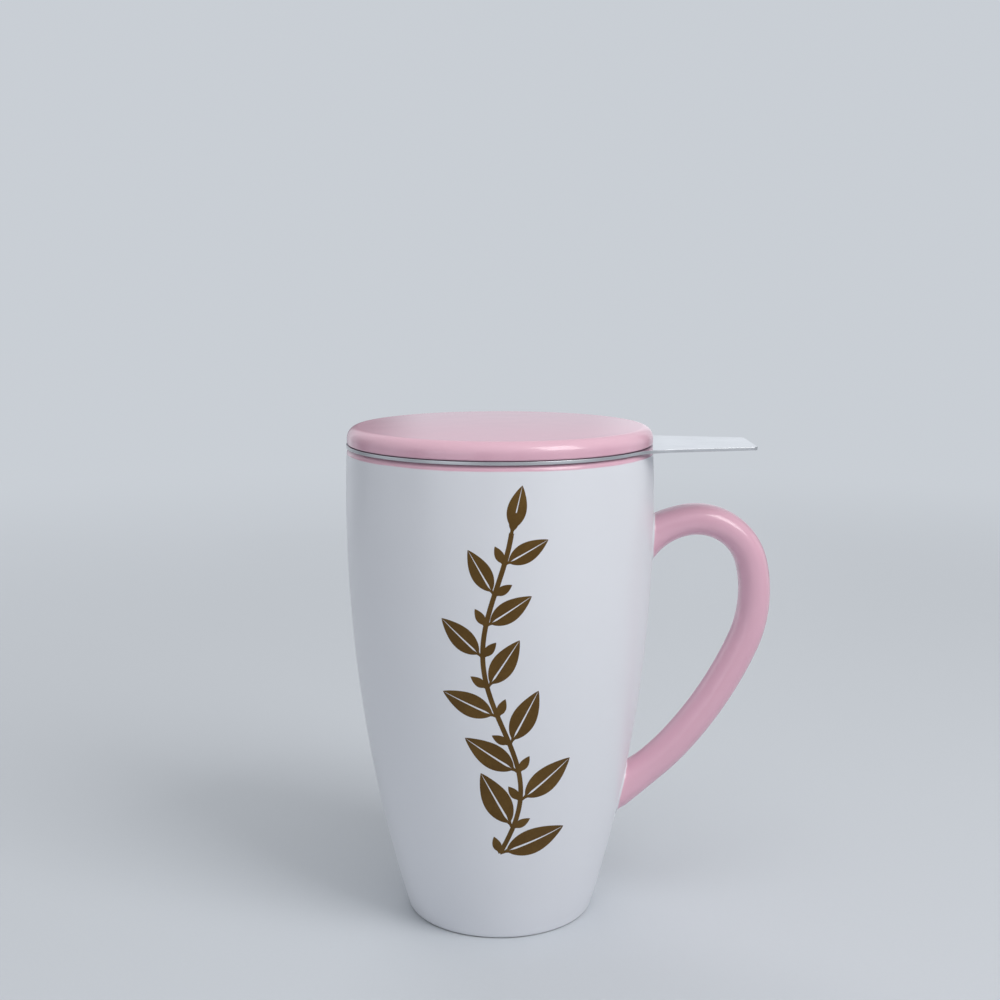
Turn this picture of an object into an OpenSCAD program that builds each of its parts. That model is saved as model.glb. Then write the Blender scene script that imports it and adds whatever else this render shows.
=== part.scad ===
// Lidded tea mug with a lift-out infuser: a tall glazed mug, a steel basket that hangs
// from the rim by a flat plate with a finger tab, and a lift-off lid that sits on the plate.
// Z is the axis of the mug, Z = 0 is the plane of the foot, and +X points to the handle.

/* [Mug] */
// Height of the mug, from the foot to the rim
mug_h = 134; // [110:1:165]
// Largest radius of the body
mug_r = 43.1; // [35:0.1:54]
// Distance from the rim down to the widest place
belly_drop = 18.5; // [8:0.5:30]
// Radius of the long curve of the side
side_arc_r = 410; // [340:5:900]
// Thickness of the wall
wall = 4; // [3:0.1:5]
// Thickness of the floor
floor_t = 6; // [4:0.5:9]
// Rounding between the floor and the wall, inside
floor_round = 9; // [4:0.5:12]
// Width of the ring that the mug stands on
foot_ring_w = 4.5; // [3:0.5:8]
// Depth of the recess inside that ring
foot_recess = 1.6; // [0.5:0.1:2.5]
// Rounding of the foot's outer edge
foot_round = 1.2; // [0.4:0.1:2]

/* [Handle] */
// Distance from the rim down to where the handle's centre line leaves the wall
handle_drop = 27; // [22:0.5:32]
// Thickness of the handle, measured across its curve
handle_t = 8.7; // [7:0.1:11]
// Thickness of the handle at its two roots
handle_root_t = 10.6; // [8:0.1:13]
// Width of the handle, from side to side
handle_w = 12.6; // [9:0.1:16]
// Width of the handle at its two roots
handle_root_w = 15.4; // [11:0.1:19]
// How deep the roots are pressed into the wall
handle_sink = 1; // [0.5:0.1:1.5]

/* [Lid] */
// Height of the lid's edge
lid_edge_h = 4.8; // [3.8:0.1:7]
// Rounding of the lid's upper edge
lid_round = 3.2; // [1.5:0.1:3.6]
// Rise of the lid's top, from its edge to its middle
lid_dome = 1; // [0:0.1:4]
// How far the lid's edge stays inside the widest radius of the mug
lid_inset = 0.5; // [0:0.1:2]
// Depth of the locating ring under the lid
lid_ring_h = 3.6; // [2.5:0.1:6]
// Width of the locating ring
lid_ring_w = 3.4; // [3:0.1:6]
// Height of the recess's roof above the lid's underside
lid_roof_h = 1.2; // [0.4:0.1:1.6]

/* [Infuser rim] */
// Thickness of the rim plate
plate_t = 0.9; // [0.6:0.1:1.5]
// How far the plate's edge stays inside the widest radius of the mug
plate_inset = 0.3; // [0:0.1:2]
// Length of the finger tab, from the plate's round edge to its tip
tab_len = 27.4; // [20:0.1:36]
// Width of the tab at its tip
tab_tip_w = 23; // [14:0.2:26]
// Slant of each side of the tab, in degrees
tab_slant = 12; // [5:0.1:18]
// Radius of the hollow curves between the tab and the plate
tab_hollow_r = 20; // [10:1:30]
// Rounding of the tab's corners
tab_corner_r = 1.6; // [0.5:0.1:4]
// Thickness of the collar's and the basket's sheet
sheet_t = 0.45; // [0.3:0.05:0.8]
// Height of the collar's straight wall, below the plate
collar_h = 8.5; // [6:0.1:14]
// Height of the slope from the collar to the basket
shoulder_h = 4.5; // [3:0.1:8]
// Radius of the bend at the collar's mouth
mouth_bend_r = 1.8; // [1:0.1:2.4]
// Width of the collar's lap under the plate
collar_lap_w = 2.2; // [1.5:0.1:2.6]

/* [Basket] */
// Depth of the whole infuser below the plate
basket_depth = 76.2; // [60:0.2:92]
// How far the slope steps in from the collar to the strainer
shoulder_w = 5.6; // [3:0.1:8]
// How much narrower the strainer is at its foot than at its top
strainer_taper = 2.7; // [1:0.1:5]
// Length of the collar's neck inside the strainer
neck_h = 4.5; // [3:0.1:8]
// Height of the plain ring round the strainer's foot
base_ring_h = 5.1; // [4.5:0.1:10]
// Rounding of that ring's lower edge
base_ring_round = 2; // [1:0.1:3]
// Width of the ledge that carries the bottom disc
base_ledge_w = 1.4; // [1:0.1:3]

/* [Fits] */
// Gap between the mug's rim, the plate and the lid, at rest
seat_gap = 0.1; // [0.05:0.01:0.3]
// Gap between the mug's mouth and the infuser's collar
collar_gap = 4.9; // [4.4:0.1:9]
// Gap between the collar and the lid's locating ring
lid_ring_gap = 0.5; // [0.3:0.1:1.5]
// Gap between sheets that are welded together
weld_gap = 0.05; // [0.02:0.01:0.1]

/* [Hidden] */
$fn = 96;

white_glaze = "#e3e6ee";
pink_glaze = "#dd9fb3";
steel = "#b4b8bd";

// The side's long curve: the centre that the outer and the inner curve share.
belly_z = mug_h - belly_drop;
side_centre_r = mug_r - side_arc_r;
side_steps = 18;
rim_straight = 4;      // the corner roundings of the rim need this much of the wall's end
rim_land = 0.6;        // flat width left on top of the rim
rim_round = (wall - rim_land) / 2;
recess_slant = 1.5;    // the recess's wall leans in by this much
recess_round = 1;
ring_round = 0.6;      // inner edge of the foot ring

// The lid's small roundings and slants.
lid_under_round = 0.5;
lid_ring_round = 1.3;
lid_ring_draft = 0.6;
lid_roof_round = 2.6;
lid_roof_rise = 0.6;
fillet_room = 0.2;     // straight stretch left between two roundings of the ring
lid_cove_round = min(mouth_bend_r, lid_ring_h - lid_ring_round - fillet_room);
lid_inner_round = min(lid_roof_round, lid_ring_h + lid_roof_h - lid_ring_round - fillet_room);
dome_steps = 8;

// Heights of the seated infuser and lid.
plate_z = mug_h + seat_gap;
plate_top_z = plate_z + plate_t;
lid_z = plate_top_z + seat_gap;

// Radii that follow from the mug's mouth.
mouth_r = side_r(mug_h, wall);
plate_r = mug_r - plate_inset;
lid_r = mug_r - lid_inset;
collar_out_r = mouth_r - collar_gap;
collar_in_r = collar_out_r - sheet_t;
plate_hole_r = collar_in_r + mouth_bend_r;
lid_ring_out_r = collar_in_r - lid_ring_gap;
lid_ring_in_r = lid_ring_out_r - lid_ring_w;

// Heights and radii of the basket.
shoulder_z = plate_z - collar_h;
neck_z = shoulder_z - shoulder_h;
basket_z = plate_z - basket_depth;
strainer_top_r = collar_out_r - shoulder_w;
strainer_foot_r = strainer_top_r - strainer_taper;
ring_top_z = basket_z + base_ring_h;
strainer_top_z = neck_z - 2 * sheet_t;
strainer_foot_z = basket_z + base_ring_round + weld_gap;
ring_in_r = strainer_r(ring_top_z) + weld_gap;
ring_out_r = ring_in_r + sheet_t;
ledge_in_r = ring_out_r - base_ring_round - base_ledge_w;
disc_r = ring_out_r - base_ring_round - weld_gap;

// The handle's centre line: radius and turn of each arc, from the upper root to the lower one.
handle_heading = 42;
handle_arcs = [[25, -30], [16.3, -88], [37, -37.5], [110, -17.5], [73, -18]];
handle_step = 2.6;     // length of one step along the centre line
handle_run = 18;       // straight run on into the body past the last arc, trimmed by the wall
handle_lead = 6;       // and before the first one
handle_flare = 13;     // length over which a root swells
handle_sides = 24;
handle_fullness = 0.86; // 1 gives an ellipse, less gives a fuller oval
core_overrun = 1;      // the solid that trims the roots starts this far below the foot

// Radius of the body's curve at height z; inset is measured square to the curve.
function side_r(z, inset = 0) =
    side_centre_r + sqrt(pow(side_arc_r - inset, 2) - pow(z - belly_z, 2));

// Points of the body's curve from z0 to z1.
function side_points(z0, z1, inset = 0) =
    [for (i = [0 : side_steps]) let (z = z0 + (z1 - z0) * i / side_steps) [side_r(z, inset), z, 0]];

// Outer radius of the strainer at height z.
function strainer_r(z) =
    strainer_foot_r + (strainer_top_r - strainer_foot_r) * (z - basket_z) / (neck_z - basket_z);

function unit(v) = v / norm(v);
function short_turn(a) = a > 180 ? a - 360 : a < -180 ? a + 360 : a;

// The arc that rounds corner b between a and c; b[2] is its radius, and 0 keeps it sharp.
function corner_arc(a, b, c) =
    let (p = [b[0], b[1]])
    b[2] == 0 ? [p] :
    let (
        u = unit([a[0], a[1]] - p),
        v = unit([c[0], c[1]] - p),
        half = acos(u * v) / 2,
        centre = p + unit(u + v) * b[2] / sin(half),
        first = p + u * b[2] / tan(half) - centre,
        last = p + v * b[2] / tan(half) - centre,
        start = atan2(first[1], first[0]),
        turn = short_turn(atan2(last[1], last[0]) - start),
        steps = max(3, ceil(abs(turn) / 12))
    )
    [for (i = [0 : steps]) centre + b[2] * [cos(start + turn * i / steps), sin(start + turn * i / steps)]];

// A closed outline from its corners, each [radius from the axis, height, rounding].
function rounded(corners) =
    let (n = len(corners))
    [for (i = [0 : n - 1]) each corner_arc(corners[(i + n - 1) % n], corners[i], corners[(i + 1) % n])];

module turned(corners) {
    rotate_extrude() polygon(rounded(corners));
}

// ---- Mug ----

function reversed(list) = [for (i = [len(list) - 1 : -1 : 0]) list[i]];

module mug_body() {
    foot_r = side_r(0);
    ring_in = foot_r - foot_ring_w;
    outside = side_points(foot_round + 1, mug_h - rim_straight);
    inside = side_points(floor_t + floor_round + 1, mug_h - rim_straight, wall);
    color(white_glaze)
        turned(concat(
            [[0, foot_recess, 0],
             [ring_in - recess_slant, foot_recess, recess_round],
             [ring_in, 0, ring_round],
             [foot_r, 0, foot_round]],
            outside,
            [[side_r(mug_h), mug_h, rim_round],
             [mouth_r, mug_h, rim_round]],
            reversed(inside),
            [[side_r(floor_t, wall), floor_t, floor_round],
             [0, floor_t, 0]]
        ));
}

// The solid inside the body's curve, inset by the depth to which the roots are pressed in.
module body_core(inset) {
    turned(concat(
        [[0, -core_overrun, 0], [side_r(-core_overrun, inset), -core_overrun, 0]],
        side_points(0, mug_h, inset),
        [[0, mug_h, 0]]
    ));
}

// Places on one arc of the centre line, each [x, z, heading]; a right turn is negative.
function arc_places(from, radius, turn) =
    let (steps = ceil(radius * abs(turn) * PI / 180 / handle_step), h = from[2])
    [for (i = [1 : steps]) let (a = h + turn * i / steps)
        [from[0] + radius * (sin(h) - sin(a)), from[1] - radius * (cos(h) - cos(a)), a]];

function arc_chain(from, k = 0) =
    k == len(handle_arcs) ? [] :
    let (places = arc_places(from, handle_arcs[k][0], handle_arcs[k][1]))
    concat(places, arc_chain(places[len(places) - 1], k + 1));

function moved_on(place, run) =
    [place[0] + run * cos(place[2]), place[1] + run * sin(place[2]), place[2]];

// An oval section of the handle at one place, flat across the centre line.
function handle_section(place, t, w) =
    [for (i = [0 : handle_sides - 1])
        let (
            c = cos(360 * i / handle_sides),
            s = sin(360 * i / handle_sides),
            across = t / 2 * sign(c) * pow(abs(c), handle_fullness),
            side = w / 2 * sign(s) * pow(abs(s), handle_fullness)
        )
        [place[0] - across * sin(place[2]), side, place[1] + across * cos(place[2])]];

// Share of the root's swelling at step i of n: 1 at the root, 0 along the middle.
function swelling(i, n) =
    pow(max(0, 1 - min(i, n - i) * handle_step / handle_flare), 2);

module handle_sweep() {
    start_z = mug_h - handle_drop;
    start = [side_r(start_z) - 2.5 * handle_sink, start_z, handle_heading];
    chain = concat([start], arc_chain(start));
    n = len(chain) - 1;
    places = concat([moved_on(start, -handle_lead)], chain, [moved_on(chain[n], handle_run)]);
    last = len(places) - 1;
    rings = [for (i = [0 : last])
        let (f = swelling(min(max(i - 1, 0), n), n))
        handle_section(places[i], handle_t + (handle_root_t - handle_t) * f,
            handle_w + (handle_root_w - handle_w) * f)];
    m = handle_sides;
    skin = [for (i = [0 : last - 1], j = [0 : m - 1])
        let (a = i * m + j, b = i * m + (j + 1) % m)
        each [[a, a + m, b], [b, a + m, b + m]]];
    ends = [[for (j = [0 : m - 1]) j], [for (j = [m - 1 : -1 : 0]) last * m + j]];
    polyhedron([for (r = rings) each r], concat(skin, ends), convexity = 4);
}

module mug_handle() {
    color(pink_glaze)
        difference() {
            handle_sweep();
            body_core(handle_sink);
        }
}

// ---- Lid ----

module lid() {
    top_z = lid_z + lid_edge_h;
    top_r = lid_r - lid_round - lid_under_round;
    top = [for (i = [0 : dome_steps]) let (r = top_r * i / dome_steps)
        [r, top_z + lid_dome * (1 - pow(r / top_r, 2)), 0]];
    color(pink_glaze)
        turned(concat(top, [
            [lid_r, top_z, lid_round],
            [lid_r, lid_z, lid_under_round],
            [lid_ring_out_r, lid_z, lid_cove_round],
            [lid_ring_out_r, lid_z - lid_ring_h, lid_ring_round],
            [lid_ring_in_r, lid_z - lid_ring_h, lid_ring_round],
            [lid_ring_in_r - lid_ring_draft, lid_z + lid_roof_h, lid_inner_round],
            [0, lid_z + lid_roof_h + lid_roof_rise, 0]
        ]));
}

// ---- Infuser ----

// Outline of the plate: a disc, and a tab towards +X that hollow curves blend into it.
module plate_outline() {
    tip_x = plate_r + tab_len;
    half_tip = tab_tip_w / 2;
    side = [-cos(tab_slant), sin(tab_slant)];     // along the tab's side, towards the disc
    outward = [sin(tab_slant), cos(tab_slant)];
    base = [tip_x, half_tip] + tab_hollow_r * outward;
    reach = plate_r + tab_hollow_r;
    along = -base * side - sqrt(pow(base * side, 2) - base * base + reach * reach);
    hollow = base + along * side;                 // centre of the hollow curve
    on_side = hollow - tab_hollow_r * outward;
    on_disc = hollow * plate_r / reach;
    tip = [tip_x, half_tip, tab_corner_r];
    difference() {
        union() {
            circle(r = plate_r, $fn = 180);
            difference() {
                polygon(rounded([[0, 0, 0],
                    [on_disc[0], -on_disc[1], 0],
                    [on_side[0], -on_side[1], 0],
                    [tip[0], -tip[1], tip[2]],
                    tip,
                    [on_side[0], on_side[1], 0],
                    [on_disc[0], on_disc[1], 0]]));
                for (s = [-1, 1])
                    translate([hollow[0], s * hollow[1]]) circle(r = tab_hollow_r, $fn = 180);
            }
        }
        circle(r = plate_hole_r, $fn = 180);
    }
}

module rim_plate() {
    color(steel)
        translate([0, 0, plate_z]) linear_extrude(plate_t) plate_outline();
}

// The drawn collar: a lap under the plate, a straight wall, a slope and a neck in the strainer.
module collar() {
    lap_r = plate_hole_r + collar_lap_w;
    neck_top = strainer_r(neck_z) - sheet_t - weld_gap;
    neck_foot = strainer_r(neck_z - neck_h) - sheet_t - weld_gap;
    slope = atan2(shoulder_h, collar_out_r - neck_top);
    drop = sheet_t * tan(45 - slope / 2);         // keeps the sheet's thickness round the corners
    color(steel)
        turned([
            [lap_r, plate_z, 0],
            [collar_in_r, plate_z, mouth_bend_r],
            [collar_in_r, shoulder_z + drop, 1.2],
            [neck_top - sheet_t, neck_z + drop, 1.4],
            [neck_foot - sheet_t, neck_z - neck_h, 0],
            [neck_foot, neck_z - neck_h, 0],
            [neck_top, neck_z, 0.6],
            [collar_out_r, shoulder_z, 1.5],
            [collar_out_r, plate_z - sheet_t, mouth_bend_r - sheet_t],
            [lap_r, plate_z - sheet_t, 0]
        ]);
}

module strainer_sleeve() {
    color(steel)
        turned([
            [strainer_r(strainer_top_z), strainer_top_z, 0],
            [strainer_r(strainer_foot_z), strainer_foot_z, 0],
            [strainer_r(strainer_foot_z) - sheet_t, strainer_foot_z, 0],
            [strainer_r(strainer_top_z) - sheet_t, strainer_top_z, 0]
        ]);
}

module base_ring() {
    color(steel)
        turned([
            [ring_out_r, ring_top_z, 0],
            [ring_out_r, basket_z, base_ring_round],
            [ledge_in_r, basket_z, 0],
            [ledge_in_r, basket_z + sheet_t, 0],
            [ring_in_r, basket_z + sheet_t, base_ring_round - sheet_t],
            [ring_in_r, ring_top_z, 0]
        ]);
}

module base_disc() {
    color(steel)
        translate([0, 0, basket_z + sheet_t]) cylinder(r = disc_r, h = sheet_t, $fn = 180);
}

mug_body();
mug_handle();
lid();
rim_plate();
collar();
strainer_sleeve();
base_ring();
base_disc();
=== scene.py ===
from math import atan2, ceil, cos, degrees, pi, radians, sin, sqrt, tan

import bmesh
import bpy
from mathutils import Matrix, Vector


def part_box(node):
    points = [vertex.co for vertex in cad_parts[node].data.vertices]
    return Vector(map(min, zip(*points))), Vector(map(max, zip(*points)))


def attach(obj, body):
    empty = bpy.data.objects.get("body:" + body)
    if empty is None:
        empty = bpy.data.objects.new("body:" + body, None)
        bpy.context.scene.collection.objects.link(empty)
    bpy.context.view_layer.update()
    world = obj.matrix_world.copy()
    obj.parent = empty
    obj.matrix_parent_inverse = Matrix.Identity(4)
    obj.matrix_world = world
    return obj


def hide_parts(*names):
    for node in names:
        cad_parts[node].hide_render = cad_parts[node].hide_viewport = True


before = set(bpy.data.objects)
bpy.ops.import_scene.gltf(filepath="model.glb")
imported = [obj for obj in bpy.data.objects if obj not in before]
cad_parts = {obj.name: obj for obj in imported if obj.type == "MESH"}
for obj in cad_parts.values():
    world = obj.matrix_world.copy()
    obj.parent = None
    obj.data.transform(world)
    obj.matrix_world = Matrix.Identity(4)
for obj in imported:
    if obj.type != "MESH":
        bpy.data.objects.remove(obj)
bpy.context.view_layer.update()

mm = 0.001
crispAngle = radians(38)        # edges that bend more than this stay sharp
scene = bpy.context.scene
scene.view_settings.view_transform = "Standard"

bodyLow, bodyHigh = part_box("mug_body")
lidLow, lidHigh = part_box("lid")
plateLow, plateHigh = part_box("rim_plate")
collarLow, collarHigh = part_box("collar")
sleeveLow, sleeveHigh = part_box("strainer_sleeve")
ringLow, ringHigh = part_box("base_ring")
discLow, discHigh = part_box("base_disc")
mugR = -bodyLow.x
lidR = -lidLow.x
plateR = -plateLow.x
discR = -discLow.x


# Node trees, shader and geometry alike

def feed(tree, socket, value):
    if isinstance(value, bpy.types.NodeSocket):
        tree.links.new(value, socket)
    else:
        socket.default_value = value


def addNode(tree, kind, feeds=None, **settings):
    made = tree.nodes.new(kind)
    for name, value in settings.items():
        setattr(made, name, value)
    for name, value in (feeds or {}).items():
        feed(tree, made.inputs[name], value)
    return made


def nodeOut(tree, kind, feeds=None, output=0, **settings):
    # Most nodes are there for one output alone
    return addNode(tree, kind, feeds, **settings).outputs[output]


def calc(tree, operation, a, b=0.0, c=None):
    feeds = {0: a, 1: b} if c is None else {0: a, 1: b, 2: c}
    return nodeOut(tree, "ShaderNodeMath", feeds, operation=operation)


def plus(tree, a, b):
    return calc(tree, "ADD", a, b)


def minus(tree, a, b):
    return calc(tree, "SUBTRACT", a, b)


def times(tree, a, b):
    return calc(tree, "MULTIPLY", a, b)


def over(tree, a, b):
    return calc(tree, "DIVIDE", a, b)


def vecCalc(tree, operation, a, b=(0, 0, 0)):
    made = addNode(tree, "ShaderNodeVectorMath", {0: a}, operation=operation)
    if operation == "SCALE":
        feed(tree, made.inputs["Scale"], b)
    elif operation != "NORMALIZE":
        feed(tree, made.inputs[1], b)
    return made.outputs["Value" if operation in ("DOT_PRODUCT", "LENGTH") else "Vector"]


def splitXyz(tree, vector):
    return addNode(tree, "ShaderNodeSeparateXYZ", {0: vector}).outputs


def joinXyz(tree, x, y, z):
    return nodeOut(tree, "ShaderNodeCombineXYZ", {0: x, 1: y, 2: z})


def fromAxis(tree, x, y):
    return vecCalc(tree, "LENGTH", joinXyz(tree, x, y, 0.0))


def roundAxis(tree, radius, angle, height):
    # The place at this radius, angle and height about Z
    return joinXyz(tree, times(tree, radius, calc(tree, "COSINE", angle)),
                   times(tree, radius, calc(tree, "SINE", angle)), height)


def stretch(tree, value, fromLow, fromHigh, toLow=0.0, toHigh=1.0, smooth=True):
    feeds = {0: value, 1: fromLow, 2: fromHigh, 3: toLow, 4: toHigh}
    return nodeOut(tree, "ShaderNodeMapRange", feeds,
                   interpolation_type="SMOOTHSTEP" if smooth else "LINEAR")


def position(tree):
    return nodeOut(tree, "GeometryNodeInputPosition")


def shapeOf(tree, helper):
    return nodeOut(tree, "GeometryNodeObjectInfo", {"Object": helper}, "Geometry")


def newTree(name, inputs):
    tree = bpy.data.node_groups.new(name, "GeometryNodeTree")
    for way in ("INPUT", "OUTPUT"):
        tree.interface.new_socket("Geometry", in_out=way, socket_type="NodeSocketGeometry")
    for label, kind in inputs.items():
        tree.interface.new_socket(label, in_out="INPUT", socket_type="NodeSocket" + kind)
    return tree, tree.nodes.new("NodeGroupInput").outputs


def moved(tree, geometry, spot):
    return nodeOut(tree, "GeometryNodeSetPosition", {"Geometry": geometry, "Position": spot})


def endTree(tree, geometry, given):
    # Smooth faces with crisp edges, then real geometry with its material
    smooth = nodeOut(tree, "GeometryNodeSetShadeSmooth", {"Geometry": geometry})
    bend = nodeOut(tree, "GeometryNodeInputMeshEdgeAngle", output="Unsigned Angle")
    crisp = nodeOut(tree, "GeometryNodeSetShadeSmooth", {
        "Geometry": smooth, "Selection": calc(tree, "GREATER_THAN", bend, crispAngle),
        "Shade Smooth": False}, domain="EDGE")
    solid = nodeOut(tree, "GeometryNodeRealizeInstances", {"Geometry": crisp})
    painted = nodeOut(tree, "GeometryNodeSetMaterial", {
        "Geometry": solid, "Material": given["Material"]})
    addNode(tree, "NodeGroupOutput", {0: painted})
    return tree


# Objects and meshes

def addObject(name, data):
    made = bpy.data.objects.new(name, data)
    scene.collection.objects.link(made)
    return made


def grow(name, mesh, tree, values):
    # Runs a tree on a mesh and keeps the result as a plain mesh
    piece = addObject(name, mesh)
    modifier = piece.modifiers.new(tree.name, "NODES")
    modifier.node_group = tree
    for item in tree.interface.items_tree:
        if item.in_out == "INPUT" and item.name in values:
            modifier[item.identifier] = values[item.name]
    ready = piece.evaluated_get(bpy.context.evaluated_depsgraph_get())
    made = bpy.data.meshes.new_from_object(ready)
    piece.modifiers.clear()
    piece.data = made
    made.name = name
    return piece


def openShell(piece):
    shell = bmesh.new()
    shell.from_mesh(piece.data)
    return shell


def saveShell(shell, mesh, crisp=False):
    # Turns the faces outwards first. crisp: marks the edges that stay sharp
    bmesh.ops.recalc_face_normals(shell, faces=shell.faces)
    if crisp:
        for edge in shell.edges:
            if edge.is_manifold and edge.calc_face_angle(0) > crispAngle:
                edge.smooth = False
    shell.to_mesh(mesh)
    shell.free()


def faceOutwards(piece, slivers=0.0):
    # slivers: edges shorter than this are closed up first
    shell = openShell(piece)
    if slivers:
        bmesh.ops.remove_doubles(shell, verts=shell.verts, dist=slivers)
        bmesh.ops.dissolve_degenerate(shell, dist=slivers, edges=shell.edges)
    saveShell(shell, piece.data)


def tell(piece):
    print("made", piece.name, len(piece.data.polygons), "faces")


def place(piece, body, node):
    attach(piece, body)
    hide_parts(node)
    tell(piece)


def lineObject(name, points, radii):
    curve = bpy.data.curves.new(name, "CURVE")
    curve.dimensions = "3D"
    spline = curve.splines.new("POLY")
    spline.points.add(len(points) - 1)
    for spot, point, radius in zip(spline.points, points, radii):
        spot.co = (*point, 1)
        spot.radius = radius
    return addObject(name, curve)


def removeHelpers(*helpers):
    for helper in helpers:
        bpy.data.objects.remove(helper)


# The long curve of the mug's side, which the body, the handle and the print all follow

mug = {
    "wall": 4 * mm,
    "bellyDrop": 18.5 * mm,     # from the rim down to the widest place
    "sideArc": 410 * mm,
    "floor": 6 * mm,
    "floorRound": 9 * mm,
    "footRing": 4.5 * mm,
    "footRecess": 1.6 * mm,
    "recessSlant": 1.5 * mm,
    "recessRound": 1 * mm,
    "ringRound": 0.6 * mm,
    "footRound": 1.2 * mm,
    "rimLand": 0.6 * mm,        # flat width left on the rim
    "rimStraight": 4 * mm,
    "sideStart": 1 * mm,        # the side's rows start this far above the rounding under them
    "outsideRows": 64,
    "insideRows": 56,
    "steps": 224,
}
rimZ = bodyHigh.z
bellyZ = rimZ - mug["bellyDrop"]
sideCentre = mugR - mug["sideArc"]


def sideRadius(z, inset=0.0):
    return sideCentre + sqrt((mug["sideArc"] - inset) ** 2 - (z - bellyZ) ** 2)


def sideRadiusNodes(tree, z, inset=0.0):
    # The same radius inside a node tree
    rise = calc(tree, "POWER", minus(tree, z, bellyZ), 2.0)
    left = minus(tree, (mug["sideArc"] - inset) ** 2, rise)
    return plus(tree, calc(tree, "SQRT", left), sideCentre)


def outsideWallNodes(tree, x, y, z, inset=0.0):
    # Distance outside the side's curve, less than 0 inside it
    return minus(tree, fromAxis(tree, x, y), sideRadiusNodes(tree, z, inset))


# Glazes, steel and ink

def clearNodes(owner):
    owner.use_nodes = True
    owner.node_tree.nodes.clear()
    return owner.node_tree


def ownSpot(tree):
    return nodeOut(tree, "ShaderNodeTexCoord", output="Object")


def newMaterial(name):
    material = bpy.data.materials.new(name)
    tree = clearNodes(material)
    shader = tree.nodes.new("ShaderNodeBsdfPrincipled")
    addNode(tree, "ShaderNodeOutputMaterial", {"Surface": shader.outputs[0]})
    return material, tree, shader, ownSpot(tree)


def noise(tree, spot, scale, detail=2.0, roughness=0.5):
    return nodeOut(tree, "ShaderNodeTexNoise", {
        "Vector": spot, "Scale": scale, "Detail": detail, "Roughness": roughness})


def blendColours(tree, share, a, b):
    # The mixing node's colour sockets are its seventh and eighth, and the third that comes out
    return nodeOut(tree, "ShaderNodeMix", {0: share, 6: a, 7: b}, 2, data_type="RGBA")


def bumpy(tree, shader, height):
    bump = nodeOut(tree, "ShaderNodeBump", {"Height": height, "Distance": 1.0, "Strength": 1.0})
    feed(tree, shader.inputs["Normal"], bump)


glaze = {
    "white": (0.775, 0.79, 0.835, 1),
    "whiteDeep": (0.765, 0.78, 0.826, 1),     # where the glaze lies thicker
    "pink": (0.745, 0.45, 0.555, 1),
    "pinkDeep": (0.72, 0.415, 0.52, 1),
    "pinkLighter": (0.82, 0.53, 0.63, 1),        # a lighter pink over the top edges
    "pinkPaintedBounce": (0.82, 0.41, 0.52, 1),        # painted bounce light: a stronger pink in the hollows, standing in for light bounced round them
    "biscuit": (0.66, 0.60, 0.52, 1),         # bare fired clay under the foot
    "biscuitDark": (0.52, 0.46, 0.39, 1),
    "whiteGloss": 0.34,
    "pinkGloss": 0.17,
    "uneven": 0.04,                           # change of the gloss either way
    "matt": 0.75,
    "lighterMost": 0.55,                         # how much of the lighter colour shows at most
    "cloud": 38.0,                            # noise scales, per metre
    "ripple": 95.0,
    "peel": 520.0,
    "clayGrain": 900.0,
    "rimWaves": 60.0,
    "rootWaves": 160.0,
    "rippleDepth": 0.05 * mm,
    "peelDepth": 0.003 * mm,
    "edgeBlur": 0.22 * mm,                    # softness of the line where two glazes meet
    "edgeWander": 0.25 * mm,
}


def glazeSurface(tree, shader, spot, gloss):
    # Slow ripples and a fine peel, as a dipped glaze has
    ripple = times(tree, noise(tree, spot, glaze["ripple"], 1.0), glaze["rippleDepth"])
    peel = times(tree, noise(tree, spot, glaze["peel"]), glaze["peelDepth"])
    bumpy(tree, shader, plus(tree, ripple, peel))
    streaks = noise(tree, spot, glaze["ripple"], 3.0, 0.6)
    change = stretch(tree, streaks, 0.0, 1.0, -glaze["uneven"], glaze["uneven"], smooth=False)
    feed(tree, shader.inputs["Roughness"], plus(tree, change, gloss))
    shader.inputs["IOR"].default_value = 1.52
    shader.inputs["Coat Weight"].default_value = 0.1
    shader.inputs["Coat Roughness"].default_value = 0.12


def glazeColour(tree, spot, shade):
    clouds = noise(tree, spot, glaze["cloud"], 1.0)
    return blendColours(tree, clouds, glaze[shade], glaze[shade + "Deep"])


def lighterOver(tree, colour, share):
    # Makes the pink lighter where share is high
    return blendColours(tree, times(tree, share, glaze["lighterMost"]), colour, glaze["pinkLighter"])


def wanderingEdge(tree, spot, scale):
    # How far the line between two glazes strays, to and fro
    return times(tree, minus(tree, noise(tree, spot, scale), 0.5), 2 * glaze["edgeWander"])


mugLook = {
    "pinkDrop": 1.45 * mm,      # how far the pink comes down outside the rim
    "lighterDrop": 1.3 * mm,       # how far below the rim the pink is lighter
    "paintedBounceStart": 1.5 * mm,      # below the rim, where the painted bounce light inside starts and where it is full
    "paintedBounceFull": 6 * mm,
    "floorShare": 0.6,          # share of the floor's thickness that counts as outside
    "bareFoot": 0.25 * mm,      # height of the unglazed edge under the foot
    "bareFull": 0.1 * mm,       # and the height up to which it is quite bare
    "bareWander": 0.6,          # how much of the rim line's wander the foot line has
}


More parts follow.
